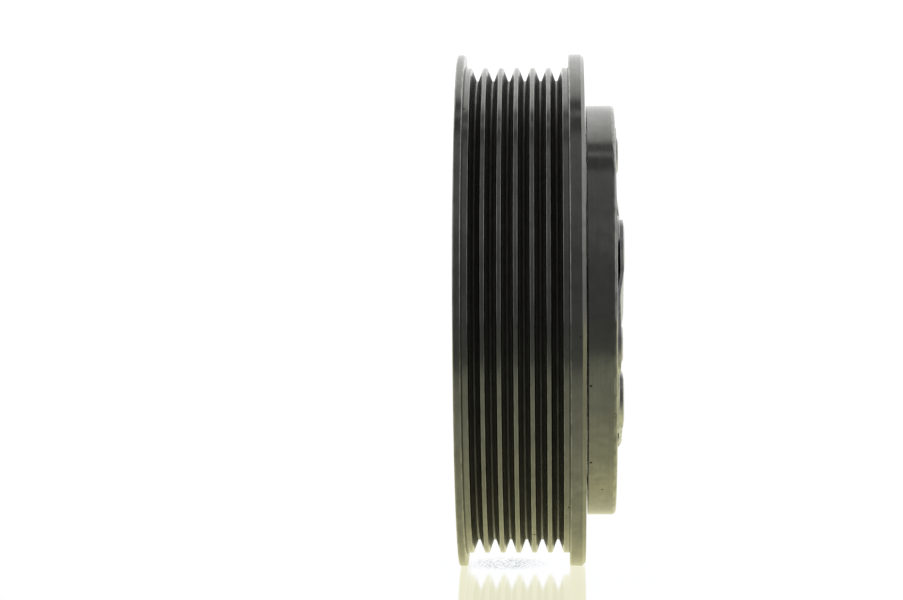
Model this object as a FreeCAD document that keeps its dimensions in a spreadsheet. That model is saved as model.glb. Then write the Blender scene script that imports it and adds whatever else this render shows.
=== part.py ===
import FreeCAD, Part
import Sketcher
import os
import re
from FreeCAD import Placement, Rotation, Vector

# Electromagnetic clutch for a belt-driven compressor.
# X is the spin axis and points from the coil side to the armature side, Z is up, and the
# origin is the middle of the bearing's bore. Lengths are millimetres, angles are degrees.
# Angles about X are counted from +Z, and positive ones turn +Y towards +Z.

SIZES = {
    # pulley rim, six grooves of the PK belt section
    "rear_face": -14.6, "front_face": 13.8,
    "rear_flange_width": 1.8, "front_flange_width": 3.5,
    "flange_radius": 58.0, "rib_radius": 55.0, "rim_inner_radius": 48.5,
    "edge_break": 0.4, "rim_chamfer": 0.8,
    "groove_pitch": 3.56, "groove_count": 6, "groove_depth": 3.0, "groove_angle": 40,
    "rib_land": 0.9, "first_groove": 4.45,
    # rotor web, sleeve and flux slots
    "web_rear": 7.8, "sleeve_rear": -11.4, "sleeve_radius": 29.2, "shoulder_radius": 23.0,
    "slot_half_width": 1.25, "slot_angle": 48, "slot_count": 6,
    "inner_slot_radius": 34.5, "outer_slot_radius": 43.0,
    "lining_depth": 1.6, "lining_half_width": 1.5,
    # double-row ball bearing
    "bearing_half": 10.0, "bearing_bore": 17.5, "bearing_radius": 25.0,
    "inner_ring_radius": 19.6, "outer_ring_bore": 22.9,
    "pitch_radius": 21.25, "ball_radius": 2.38, "raceway_radius": 2.45,
    "row_offset": 4.6, "ball_count": 22,
    "cage_half_width": 3.0, "cage_half_thickness": 0.5, "pocket_radius": 2.46,
    "seal_lip": 19.75, "seal_front": 9.6, "seal_thickness": 1.4,
    "circlip_width": 1.5, "circlip_seat": 26.2, "circlip_inner": 23.4,
    "circlip_gap": 14, "lug_radius": 1.9, "lug_circle": 22.8, "lug_hole": 0.8, "lug_angle": 11,
    # field coil
    "coil_rear": -12.2, "coil_front": 7.1, "coil_inner": 29.75, "coil_outer": 47.75,
    "coil_wall": 1.8, "coil_floor": 2.0, "coil_corner": 1.5,
    "bobbin_rear": -10.1, "bobbin_front": 5.6, "bobbin_wall": 1.0, "bobbin_gap": 0.1,
    "potting_front": 6.9,
    "plate_thickness": 2.0, "plate_bore": 22.5, "plate_radius": 46.0,
    "window_inner": 34.0, "window_outer": 41.0, "window_angle": 46, "window_count": 3,
    "pin_circle": 33.0, "pin_radius": 2.5, "pin_length": 2.0, "pin_chamfer": 0.3,
    "pin_shank": 2.8, "pin_angle": -130,
    "gland_circle": 40.0, "gland_radius": 4.0, "gland_end": -16.0, "gland_hole": 1.6,
    "gland_hole_depth": 2.5, "gland_round": 0.6, "gland_angle": -100,
    # hub
    "hub_rear": 11.6, "seat_rear": 17.2, "seat_front": 19.6, "boss_front": 22.0,
    "boss_radius": 11.5, "boss_neck": 9.5, "boss_chamfer": 0.4,
    "spline_minor": 7.2, "spline_major": 8.0, "spline_width": 1.1, "spline_count": 20,
    "bolt_hole": 4.1, "head_recess": 7.9,
    "shim_thickness": 0.5, "shim_radius": 7.0, "shim_bore": 5.0,
    "flange_rear": 18.0, "flange_front": 21.55, "corner_radius": 7.5, "hub_angle": 46,
    "hub_rivet_circle": 20.8, "hub_shank": 2.5, "hub_tail_radius": 3.6, "hub_tail_rear": 17.4,
    "hub_head_base": 6.2, "hub_head_top": 4.8, "hub_head_height": 0.35,
    "pad_inner": 24.8, "pad_outer": 27.4, "pad_angle": 14, "pad_rear": 17.32,
    # leaf springs, two leaves each
    "leaf_thickness": 0.34, "leaf_gap": 0.02, "leaf_width": 13.0, "leaf_sweep": 52,
    "leaf_hub_flat": 12.5, "leaf_far_flat": 7.0, "leaf_hub_hole": 2.5, "leaf_far_hole": 2.7,
    # armature
    "armature_rear": 14.3, "armature_front": 20.65, "armature_radius": 46.4,
    "armature_bore": 24.0, "armature_web_front": 17.3, "recess_radius": 29.5,
    "armature_round": 0.9, "armature_slot_radius": 38.9, "armature_slot_half": 1.1,
    "armature_slot_angle": 88,
    "far_rivet_circle": 37.5, "far_shank": 2.6, "far_tail_radius": 4.0, "far_tail_rear": 14.8,
    "far_tail_front": 16.5, "far_head_radius": 4.3, "far_head_top": 3.4, "far_head_height": 0.45,
    # how far a cutting outline runs past the material
    "overshoot": 0.5,
}

# Dimensions that follow from the sheet's cells.
RIB_HALF_OPENING = "(groove_pitch - rib_land) / 2"
GROOVE_HALF_FLOOR = f"({RIB_HALF_OPENING} - groove_depth * tan(groove_angle / 2))"
FIRST_GROOVE = "(rear_face + first_groove)"
CIRCLIP_FRONT = "(bearing_half + circlip_width)"
PLATE_REAR = "(coil_rear - plate_thickness)"
LEAF_PACK = "(2 * leaf_thickness + leaf_gap)"
LEAF_SPAN = ("sqrt(hub_rivet_circle^2 + far_rivet_circle^2"
             " - 2 * hub_rivet_circle * far_rivet_circle * cos(leaf_sweep))")
HUB_HEAD_REAR = f"(flange_front + {LEAF_PACK})"
FAR_HEAD_REAR = f"(armature_front + {LEAF_PACK})"

START, END, CENTRE = 1, 2, 3            # the points of a sketch's line, arc or circle
ORIGIN = (-1, START)                    # the sketch's own origin
FULL_TURN = 360
ABOUT_X = Vector(1, 0, 0)
THIRDS = (0, 120, 240)

doc = FreeCAD.newDocument("clutch")
sheet = doc.addObject("Spreadsheet::Sheet", "Sizes")
for row, (alias, size) in enumerate(SIZES.items(), start=1):
    sheet.set(f"A{row}", alias)
    sheet.set(f"B{row}", str(size))
    sheet.setAlias(f"B{row}", alias)
doc.recompute()

bodies = []


def cell(expression):
    """The expression with each size's name pointed at its cell in the sheet."""
    return re.sub(r"[a-z_]+", lambda word: "Sizes." + word[0] if word[0] in SIZES else word[0],
                  expression)


def value(expression):
    """The number that an expression of size names gives now."""
    return float(bodies[-1].evalExpression(cell(expression)))


def new_body(name):
    """An empty body whose label is the sub-part's name."""
    body = doc.addObject("PartDesign::Body", name)
    body.Label = name
    bodies.append(body)
    return body


def origin_part(body, role):
    """One of the body's own origin planes or axes."""
    return next(feature for feature in body.Origin.OriginFeatures if feature.Role == role)


def new_sketch(body, role, **offset):
    """A sketch on an origin plane, moved in the sketch's own axes by expressions."""
    sketch = body.newObject("Sketcher::SketchObject", "Sketch")
    sketch.AttachmentSupport = [(origin_part(body, role), "")]
    sketch.MapMode = "FlatFace"
    for axis, expression in offset.items():
        sketch.setExpression("AttachmentOffset.Base." + axis, cell(expression))
    return sketch


def dimension(sketch, kind, *places, size):
    """A driving dimension bound to an expression."""
    index = sketch.addConstraint(Sketcher.Constraint(kind, *places, value(size)))
    sketch.setExpression(f"Constraints[{index}]", cell(size))


def place_point(sketch, geometry, point, across, up):
    """Hold one point of the geometry at a place given by two expressions."""
    dimension(sketch, "DistanceX", *ORIGIN, geometry, point, size=across)
    dimension(sketch, "DistanceY", *ORIGIN, geometry, point, size=up)


def outline(sketch, corners):
    """A closed outline of straight lines through corners given as pairs of expressions."""
    points = [Vector(value(across), value(up), 0) for across, up in corners]
    lines = [sketch.addGeometry(Part.LineSegment(start, end), False)
             for start, end in zip(points, points[1:] + points[:1])]
    for line, following in zip(lines, lines[1:] + lines[:1]):
        sketch.addConstraint(Sketcher.Constraint("Coincident", line, END, following, START))
    for line, (across, up) in zip(lines, corners):
        place_point(sketch, line, START, across, up)


def circle(sketch, across, up, radius):
    """A circle with its centre and radius given by expressions."""
    centre = Vector(value(across), value(up), 0)
    index = sketch.addGeometry(Part.Circle(centre, Vector(0, 0, 1), value(radius)), False)
    place_point(sketch, index, CENTRE, across, up)
    dimension(sketch, "Radius", index, size=radius)


def box_corners(left, right, low, high):
    """The four corners of an upright rectangle."""
    return [(left, low), (left, high), (right, high), (right, low)]


def turn_profile(body, kind, corners, angle=None, radius="0"):
    """Revolve or groove an outline of (X, radius) corners about an axis along X.

    The axis is X itself, or a line parallel to it at a height of radius. With an angle,
    the feature spans that angle, half on each side of the XZ plane.
    """
    sketch = new_sketch(body, "XZ_Plane", y=radius)
    outline(sketch, corners)
    feature = body.newObject("PartDesign::" + kind, kind)
    feature.Profile = sketch
    feature.ReferenceAxis = (sketch, ["H_Axis"])
    feature.Angle = FULL_TURN
    if angle:
        feature.Midplane = True
        feature.setExpression("Angle", cell(angle))
    return feature


def extrude(body, kind, sketch, length, towards_plus=True):
    """Pad or pocket a sketch to a length along its plane's normal."""
    feature = body.newObject("PartDesign::" + kind, kind)
    feature.Profile = sketch
    feature.Reversed = towards_plus if kind == "Pocket" else not towards_plus
    feature.setExpression("Length", cell(length))
    return feature


def repeat_round(body, feature, count):
    """Repeat a feature evenly round X."""
    pattern = body.newObject("PartDesign::PolarPattern", "PolarPattern")
    pattern.Originals = [feature]
    pattern.Axis = (origin_part(body, "X_Axis"), [""])
    pattern.Angle = FULL_TURN
    pattern.setExpression("Occurrences", cell(count))
    body.Tip = pattern
    return pattern


def turn_body(body, angle):
    """Turn a finished body about X to its angle."""
    body.Placement = Placement(Vector(), Rotation(ABOUT_X, value(angle)))
    body.setExpression("Placement.Rotation.Angle", cell(angle))


def ring(name, rear, front, inner, outer):
    """A plain ring about X."""
    body = new_body(name)
    turn_profile(body, "Revolution", box_corners(rear, front, inner, outer))
    return body


def round_hole(body, circle_radius, hole_radius, rear, front, count=None):
    """A hole along X at a radius, repeated round X when a count is given."""
    sketch = new_sketch(body, "YZ_Plane", z=rear)
    circle(sketch, "0", circle_radius, hole_radius)
    hole = extrude(body, "Pocket", sketch, f"({front}) - ({rear})")
    return repeat_round(body, hole, count) if count else hole


# --- pulley ---------------------------------------------------------------------------

def pulley_rotor():
    """Rim with belt grooves, web with flux slots, and the sleeve that holds the bearing."""
    body = new_body("pulley_rotor")
    turn_profile(body, "Revolution", [
        ("rear_face + edge_break", "flange_radius"),
        ("rear_face + rear_flange_width", "flange_radius"),
        ("rear_face + rear_flange_width", "rib_radius"),
        ("front_face - front_flange_width", "rib_radius"),
        ("front_face - front_flange_width", "flange_radius - edge_break"),
        ("front_face - front_flange_width + edge_break", "flange_radius"),
        ("front_face - rim_chamfer", "flange_radius"),
        ("front_face", "flange_radius - rim_chamfer"),
        ("front_face", "bearing_radius"),
        ("-bearing_half", "bearing_radius"),
        ("-bearing_half", "shoulder_radius"),
        ("sleeve_rear", "shoulder_radius"),
        ("sleeve_rear", "sleeve_radius"),
        ("web_rear", "sleeve_radius"),
        ("web_rear", "rim_inner_radius"),
        ("rear_face", "rim_inner_radius"),
        ("rear_face", "flange_radius - edge_break"),
    ])
    belt_grooves(body)
    turn_profile(body, "Groove", box_corners(
        "front_face - lining_depth", "front_face + overshoot",
        "outer_slot_radius - lining_half_width", "outer_slot_radius + lining_half_width"))
    turn_profile(body, "Groove", box_corners(
        "bearing_half", CIRCLIP_FRONT, "bearing_radius - overshoot", "circlip_seat"))
    for row_radius in ("inner_slot_radius", "outer_slot_radius"):
        slot = turn_profile(body, "Groove", box_corners(
            "web_rear - overshoot", "front_face + overshoot",
            f"{row_radius} - slot_half_width", f"{row_radius} + slot_half_width"),
            angle="slot_angle")
        repeat_round(body, slot, "slot_count")


def belt_grooves(body):
    """The V grooves, cut once and repeated along X at the belt's pitch."""
    groove = turn_profile(body, "Groove", [
        (f"{FIRST_GROOVE} - {RIB_HALF_OPENING}", "rib_radius + overshoot"),
        (f"{FIRST_GROOVE} - {RIB_HALF_OPENING}", "rib_radius"),
        (f"{FIRST_GROOVE} - {GROOVE_HALF_FLOOR}", "rib_radius - groove_depth"),
        (f"{FIRST_GROOVE} + {GROOVE_HALF_FLOOR}", "rib_radius - groove_depth"),
        (f"{FIRST_GROOVE} + {RIB_HALF_OPENING}", "rib_radius"),
        (f"{FIRST_GROOVE} + {RIB_HALF_OPENING}", "rib_radius + overshoot"),
    ])
    pattern = body.newObject("PartDesign::LinearPattern", "LinearPattern")
    pattern.Originals = [groove]
    pattern.Direction = (origin_part(body, "X_Axis"), [""])
    pattern.setExpression("Length", cell("groove_pitch * (groove_count - 1)"))
    pattern.setExpression("Occurrences", cell("groove_count"))
    body.Tip = pattern


def friction_lining():
    """Friction ring let into the rotor's front face."""
    ring("friction_lining", "front_face - lining_depth", "front_face",
         "outer_slot_radius - lining_half_width", "outer_slot_radius + lining_half_width")


# --- bearing --------------------------------------------------------------------------

def bearing_ring(name, inner, outer):
    """A bearing ring with a raceway for each row of balls."""
    body = ring(name, "-bearing_half", "bearing_half", inner, outer)
    sketch = new_sketch(body, "XZ_Plane")
    for row_middle in ("-row_offset", "row_offset"):
        circle(sketch, row_middle, "pitch_radius", "raceway_radius")
    raceways = body.newObject("PartDesign::Groove", "Raceways")
    raceways.Profile = sketch
    raceways.ReferenceAxis = (sketch, ["H_Axis"])
    raceways.Angle = FULL_TURN


def bearing_balls(name, row_middle):
    """One row of balls."""
    body = new_body(name)
    ball = body.newObject("PartDesign::AdditiveSphere", "Ball")
    ball.setExpression("Radius", cell("ball_radius"))
    ball.setExpression("Placement.Base.x", cell(row_middle))
    ball.setExpression("Placement.Base.z", cell("pitch_radius"))
    repeat_round(body, ball, "ball_count")


def bearing_cage(name, row_middle):
    """A thin ring with a round pocket for each ball of a row."""
    body = ring(name, f"{row_middle} - cage_half_width", f"{row_middle} + cage_half_width",
                "pitch_radius - cage_half_thickness", "pitch_radius + cage_half_thickness")
    sketch = new_sketch(body, "XY_Plane")
    circle(sketch, row_middle, "0", "pocket_radius")
    pocket = extrude(body, "Pocket", sketch, "bearing_radius")
    repeat_round(body, pocket, "ball_count")


def bearing_seal(name, rear, front):
    """Lip seal held by the outer ring, just clear of the inner ring."""
    ring(name, rear, front, "seal_lip", "outer_ring_bore")


def bearing_circlip():
    """Open retaining ring in front of the bearing, with two plier lugs at its gap."""
    body = ring("bearing_circlip", "bearing_half", CIRCLIP_FRONT, "circlip_inner", "circlip_seat")
    sketch = new_sketch(body, "YZ_Plane", z="bearing_half")
    for side in ("", "-"):
        across = f"{side}lug_circle * sin(lug_angle)"
        up = "lug_circle * cos(lug_angle)"
        circle(sketch, across, up, "lug_radius")
        circle(sketch, across, up, "lug_hole")
    extrude(body, "Pad", sketch, "circlip_width")
    turn_profile(body, "Groove", box_corners(
        "bearing_half - overshoot", f"{CIRCLIP_FRONT} + overshoot",
        "circlip_inner - overshoot", "circlip_seat + overshoot"), angle="circlip_gap")


# --- field coil -----------------------------------------------------------------------

def coil_housing():
    """Steel cup of U section, open towards the rotor's web."""
    body = new_body("coil_housing")
    turn_profile(body, "Revolution", [
        ("coil_rear", "coil_inner"),
        ("coil_front", "coil_inner"),
        ("coil_front", "coil_inner + coil_wall"),
        ("coil_rear + coil_floor", "coil_inner + coil_wall"),
        ("coil_rear + coil_floor", "coil_outer - coil_wall"),
        ("coil_front", "coil_outer - coil_wall"),
        ("coil_front", "coil_outer"),
        ("coil_rear + coil_corner", "coil_outer"),
        ("coil_rear", "coil_outer - coil_corner"),
    ])


def coil_bobbin():
    """Plastic spool of U section, open outwards, that carries the winding."""
    body = new_body("coil_bobbin")
    low = "coil_inner + coil_wall + bobbin_gap"
    high = "coil_outer - coil_wall - bobbin_gap"
    turn_profile(body, "Revolution", [
        ("bobbin_rear", low),
        ("bobbin_front", low),
        ("bobbin_front", high),
        ("bobbin_front - bobbin_wall", high),
        ("bobbin_front - bobbin_wall", f"{low} + bobbin_wall"),
        ("bobbin_rear + bobbin_wall", f"{low} + bobbin_wall"),
        ("bobbin_rear + bobbin_wall", high),
        ("bobbin_rear", high),
    ])


def coil_winding():
    """Copper winding, as one solid ring that fills the bobbin."""
    ring("coil_winding", "bobbin_rear + bobbin_wall", "bobbin_front - bobbin_wall",
         "coil_inner + coil_wall + bobbin_gap + bobbin_wall",
         "coil_outer - coil_wall - bobbin_gap - bobbin_wall")


def coil_potting():
    """Resin ring that closes the mouth of the housing over the bobbin."""
    ring("coil_potting", "bobbin_front", "potting_front",
         "coil_inner + coil_wall", "coil_outer - coil_wall")


def mounting_plate():
    """Plate on the back of the coil: register bore, windows, pin hole and lead hole."""
    body = ring("mounting_plate", PLATE_REAR, "coil_rear", "plate_bore", "plate_radius")
    window = turn_profile(body, "Groove", box_corners(
        f"{PLATE_REAR} - overshoot", "coil_rear + overshoot",
        "-window_outer", "-window_inner"), angle="window_angle")
    repeat_round(body, window, "window_count")
    for circle_radius, hole, angle in (("pin_circle", "pin_shank", "pin_angle"),
                                       ("gland_circle", "gland_radius", "gland_angle")):
        sketch = new_sketch(body, "YZ_Plane", z=PLATE_REAR)
        circle(sketch, f"-{circle_radius} * sin({angle})", f"{circle_radius} * cos({angle})", hole)
        extrude(body, "Pocket", sketch, "plate_thickness")


def locating_pin():
    """Pin on the plate's back that stops the coil from turning."""
    body = new_body("locating_pin")
    pin_rear = f"({PLATE_REAR} - pin_length)"
    turn_profile(body, "Revolution", [
        ("coil_rear", "0"),
        ("coil_rear", "pin_shank"),
        (PLATE_REAR, "pin_shank"),
        (PLATE_REAR, "pin_radius"),
        (f"{pin_rear} + pin_chamfer", "pin_radius"),
        (pin_rear, "pin_radius - pin_chamfer"),
        (pin_rear, "0"),
    ], radius="pin_circle")
    turn_body(body, "pin_angle")


def lead_gland():
    """Rubber gland in the plate, with the hole that the coil's lead would come out of."""
    body = new_body("lead_gland")
    turn_profile(body, "Revolution", [
        ("coil_rear", "0"),
        ("coil_rear", "gland_radius"),
        ("gland_end + gland_round", "gland_radius"),
        ("gland_end", "gland_radius - gland_round"),
        ("gland_end", "gland_hole"),
        ("gland_end + gland_hole_depth", "gland_hole"),
        ("gland_end + gland_hole_depth", "0"),
    ], radius="gland_circle")
    turn_body(body, "gland_angle")


# --- hub ------------------------------------------------------------------------------

def hub_boss():
    """Splined boss with a seat for the shaft's bolt."""
    body = new_body("hub_boss")
    turn_profile(body, "Revolution", [
        ("hub_rear", "spline_minor"),
        ("hub_rear", "boss_radius - boss_chamfer"),
        ("hub_rear + boss_chamfer", "boss_radius"),
        ("flange_rear", "boss_radius"),
        ("flange_rear", "boss_neck"),
        ("boss_front - boss_chamfer", "boss_neck"),
        ("boss_front", "boss_neck - boss_chamfer"),
        ("boss_front", "head_recess"),
        ("seat_front", "head_recess"),
        ("seat_front", "bolt_hole"),
        ("seat_rear", "bolt_hole"),
        ("seat_rear", "spline_minor"),
    ])
    sketch = new_sketch(body, "YZ_Plane", z="hub_rear")
    outline(sketch, box_corners("-spline_width / 2", "spline_width / 2",
                                "spline_minor - overshoot", "spline_major"))
    space = extrude(body, "Pocket", sketch, "seat_rear - hub_rear")
    repeat_round(body, space, "spline_count")


def triangle_outline(sketch):
    """Three equal corner arcs about the rivet circle, joined by lines tangent to both."""
    radius = value("corner_radius")
    up = Vector(0, 0, 1)
    centres = [Rotation(up, angle).multVec(Vector(0, value("hub_rivet_circle"), 0))
               for angle in THIRDS]
    arcs = []
    for angle, centre in zip(THIRDS, centres):
        start = Rotation(up, angle - 60).multVec(Vector(0, radius, 0)) + centre
        middle = Rotation(up, angle).multVec(Vector(0, radius, 0)) + centre
        end = Rotation(up, angle + 60).multVec(Vector(0, radius, 0)) + centre
        arcs.append(sketch.addGeometry(Part.Arc(start, middle, end), False))
        place_point(sketch, arcs[-1], CENTRE, f"-hub_rivet_circle * sin({angle})",
                    f"hub_rivet_circle * cos({angle})")
        dimension(sketch, "Radius", arcs[-1], size="corner_radius")
    for arc, following in zip(arcs, arcs[1:] + arcs[:1]):
        line = sketch.addGeometry(Part.LineSegment(
            sketch.getPoint(arc, END), sketch.getPoint(following, START)), False)
        sketch.addConstraint(Sketcher.Constraint("Tangent", arc, END, line, START))
        sketch.addConstraint(Sketcher.Constraint("Tangent", line, END, following, START))


def hub_flange():
    """Three-cornered plate that carries the springs' hub ends."""
    body = new_body("hub_flange")
    sketch = new_sketch(body, "YZ_Plane", z="flange_rear")
    triangle_outline(sketch)
    circle(sketch, "0", "0", "boss_neck")
    extrude(body, "Pad", sketch, "flange_front - flange_rear")
    round_hole(body, "hub_rivet_circle", "hub_shank", "flange_rear", "flange_front", "3")
    turn_body(body, "hub_angle")


def hub_rivets():
    """Rivets that hold the springs' hub ends to the flange."""
    body = new_body("hub_rivets")
    rivet = turn_profile(body, "Revolution", [
        ("hub_tail_rear", "0"),
        ("hub_tail_rear", "hub_tail_radius"),
        ("flange_rear", "hub_tail_radius"),
        ("flange_rear", "hub_shank"),
        (HUB_HEAD_REAR, "hub_shank"),
        (HUB_HEAD_REAR, "hub_head_base"),
        (f"{HUB_HEAD_REAR} + hub_head_height", "hub_head_top"),
        (f"{HUB_HEAD_REAR} + hub_head_height", "0"),
    ], radius="hub_rivet_circle")
    repeat_round(body, rivet, "3")
    turn_body(body, "hub_angle")


def stop_pads():
    """Rubber pads on the flange's back that the armature's web rests against."""
    body = new_body("stop_pads")
    pad = turn_profile(body, "Revolution", box_corners(
        "pad_rear", "flange_rear", "pad_inner", "pad_outer"), angle="pad_angle")
    repeat_round(body, pad, "3")
    turn_body(body, "hub_angle")


def gap_shim():
    """Shim behind the bolt's seat that sets the air gap."""
    ring("gap_shim", "seat_rear - shim_thickness", "seat_rear", "shim_bore", "shim_radius")


def leaf_outline(sketch, lift):
    """Side view of one leaf: flat on the flange, a ramp, then flat on the armature."""
    low_hub, low_far = f"flange_front + {lift}", f"armature_front + {lift}"
    near_end, far_end = "-leaf_width / 2", f"{LEAF_SPAN} + leaf_width / 2"
    far_bend = f"{LEAF_SPAN} - leaf_far_flat"
    outline(sketch, [
        (low_hub, near_end),
        (low_hub, "leaf_hub_flat"),
        (low_far, far_bend),
        (low_far, far_end),
        (f"{low_far} + leaf_thickness", far_end),
        (f"{low_far} + leaf_thickness", far_bend),
        (f"{low_hub} + leaf_thickness", "leaf_hub_flat"),
        (f"{low_hub} + leaf_thickness", near_end),
    ])


def trim_to_strap(body):
    """Cut the leaves to a strap with round ends and a hole at each end."""
    sketch = new_sketch(body, "YZ_Plane", z="armature_front - overshoot")
    half = value("leaf_width / 2")
    span = value(LEAF_SPAN)
    near_arc = sketch.addGeometry(Part.Arc(Vector(0, half, 0), Vector(-half, 0, 0),
                                           Vector(0, -half, 0)), False)
    far_arc = sketch.addGeometry(Part.Arc(Vector(span, -half, 0), Vector(span + half, 0, 0),
                                          Vector(span, half, 0)), False)
    lower = sketch.addGeometry(Part.LineSegment(Vector(0, -half, 0), Vector(span, -half, 0)), False)
    upper = sketch.addGeometry(Part.LineSegment(Vector(span, half, 0), Vector(0, half, 0)), False)
    for arc, first, second in ((near_arc, upper, lower), (far_arc, lower, upper)):
        sketch.addConstraint(Sketcher.Constraint("Tangent", first, END, arc, START))
        sketch.addConstraint(Sketcher.Constraint("Tangent", arc, END, second, START))
        dimension(sketch, "Radius", arc, size="leaf_width / 2")
    place_point(sketch, near_arc, CENTRE, "0", "0")
    place_point(sketch, far_arc, CENTRE, LEAF_SPAN, "0")
    outline(sketch, box_corners("-leaf_width", f"{LEAF_SPAN} + leaf_width",
                                "-leaf_width", "leaf_width"))
    circle(sketch, "0", "0", "leaf_hub_hole")
    circle(sketch, LEAF_SPAN, "0", "leaf_far_hole")
    extrude(body, "Pocket", sketch, f"{HUB_HEAD_REAR} - armature_front + 2 * overshoot")


def leaf_spring(number, third):
    """A pack of two leaves from one hub rivet to one armature rivet."""
    body = new_body(f"leaf_spring_{number}")
    sketch = new_sketch(body, "XY_Plane")
    leaf_outline(sketch, "0")
    leaf_outline(sketch, "(leaf_thickness + leaf_gap)")
    leaves = body.newObject("PartDesign::Pad", "Leaves")
    leaves.Profile = sketch
    leaves.Midplane = True
    leaves.setExpression("Length", cell("leaf_width + 2 * overshoot"))
    trim_to_strap(body)
    turn = f"hub_angle + {third}"
    heading = ("atan2(far_rivet_circle * cos(leaf_sweep) - hub_rivet_circle;"
               " -far_rivet_circle * sin(leaf_sweep)) / 1deg")
    turn_body(body, f"{turn} + {heading}")
    body.setExpression("Placement.Base.y", cell(f"-hub_rivet_circle * sin({turn})"))
    body.setExpression("Placement.Base.z", cell(f"hub_rivet_circle * cos({turn})"))


# --- armature -------------------------------------------------------------------------

def armature_plate():
    """Steel disc that the coil pulls against the rotor, with a recess for the hub's flange."""
    body = new_body("armature_plate")
    turn_profile(body, "Revolution", [
        ("armature_rear", "armature_bore"),
        ("armature_rear", "armature_radius - edge_break"),
        ("armature_rear + edge_break", "armature_radius"),
        ("armature_front - armature_round", "armature_radius"),
        ("armature_front - armature_round * 0.3", "armature_radius - armature_round * 0.3"),
        ("armature_front", "armature_radius - armature_round"),
        ("armature_front", "recess_radius"),
        ("armature_web_front", "recess_radius"),
        ("armature_web_front", "armature_bore"),
    ])
    slot = turn_profile(body, "Groove", box_corners(
        "armature_rear - overshoot", "armature_front + overshoot",
        "armature_slot_radius - armature_slot_half", "armature_slot_radius + armature_slot_half"),
        angle="armature_slot_angle")
    repeat_round(body, slot, "3")
    for hole, rear, front in (("far_shank", "armature_rear", "armature_front"),
                              ("far_tail_radius", "armature_rear", "far_tail_front")):
        sketch = new_sketch(body, "YZ_Plane", z=rear)
        circle(sketch, "0", "-far_rivet_circle", hole)
        repeat_round(body, extrude(body, "Pocket", sketch, f"{front} - {rear}"), "3")
    turn_body(body, "hub_angle + leaf_sweep + 180")


def armature_rivets():
    """Rivets that hold the springs' far ends to the armature, sunk below its friction face."""
    body = new_body("armature_rivets")
    rivet = turn_profile(body, "Revolution", [
        ("far_tail_rear", "0"),
        ("far_tail_rear", "far_tail_radius"),
        ("far_tail_front", "far_tail_radius"),
        ("far_tail_front", "far_shank"),
        (FAR_HEAD_REAR, "far_shank"),
        (FAR_HEAD_REAR, "far_head_radius"),
        (f"{FAR_HEAD_REAR} + far_head_height", "far_head_top"),
        (f"{FAR_HEAD_REAR} + far_head_height", "0"),
    ], radius="far_rivet_circle")
    repeat_round(body, rivet, "3")
    turn_body(body, "hub_angle + leaf_sweep")


def build():
    """Every sub-part, in the order they go together from the coil to the armature."""
    coil_housing()
    coil_bobbin()
    coil_winding()
    coil_potting()
    mounting_plate()
    locating_pin()
    lead_gland()
    bearing_ring("bearing_inner_ring", "bearing_bore", "inner_ring_radius")
    bearing_ring("bearing_outer_ring", "outer_ring_bore", "bearing_radius")
    for place, row_middle in (("rear", "-row_offset"), ("front", "row_offset")):
        bearing_balls(f"bearing_balls_{place}", row_middle)
        bearing_cage(f"bearing_cage_{place}", row_middle)
    bearing_seal("bearing_seal_rear", "-seal_front", "seal_thickness - seal_front")
    bearing_seal("bearing_seal_front", "seal_front - seal_thickness", "seal_front")
    bearing_circlip()
    pulley_rotor()
    friction_lining()
    armature_plate()
    armature_rivets()
    hub_boss()
    hub_flange()
    hub_rivets()
    stop_pads()
    gap_shim()
    for number, third in enumerate(THIRDS, start=1):
        leaf_spring(number, third)


def check():
    """Stop if any object failed, or if a sub-part has no valid shape."""
    for item in doc.Objects:
        if "Invalid" in item.State or "Error" in item.State:
            raise RuntimeError(f"{item.Label} failed: {item.State}")
    for body in bodies:
        if body.Shape.isNull() or not body.Shape.isValid():
            raise RuntimeError(f"{body.Label} has no valid shape")


build()
doc.recompute()
check()
os.makedirs("parts", exist_ok=True)
for body in bodies:
    body.Shape.exportStep(f"parts/{body.Label}.step")
    print(f"{body.Label}: {len(body.Shape.Solids)} solids, {body.Shape.Volume:.1f} mm3")
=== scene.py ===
import math

import bmesh
import bpy
from mathutils import Matrix, Vector
from mathutils.geometry import tessellate_polygon

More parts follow.
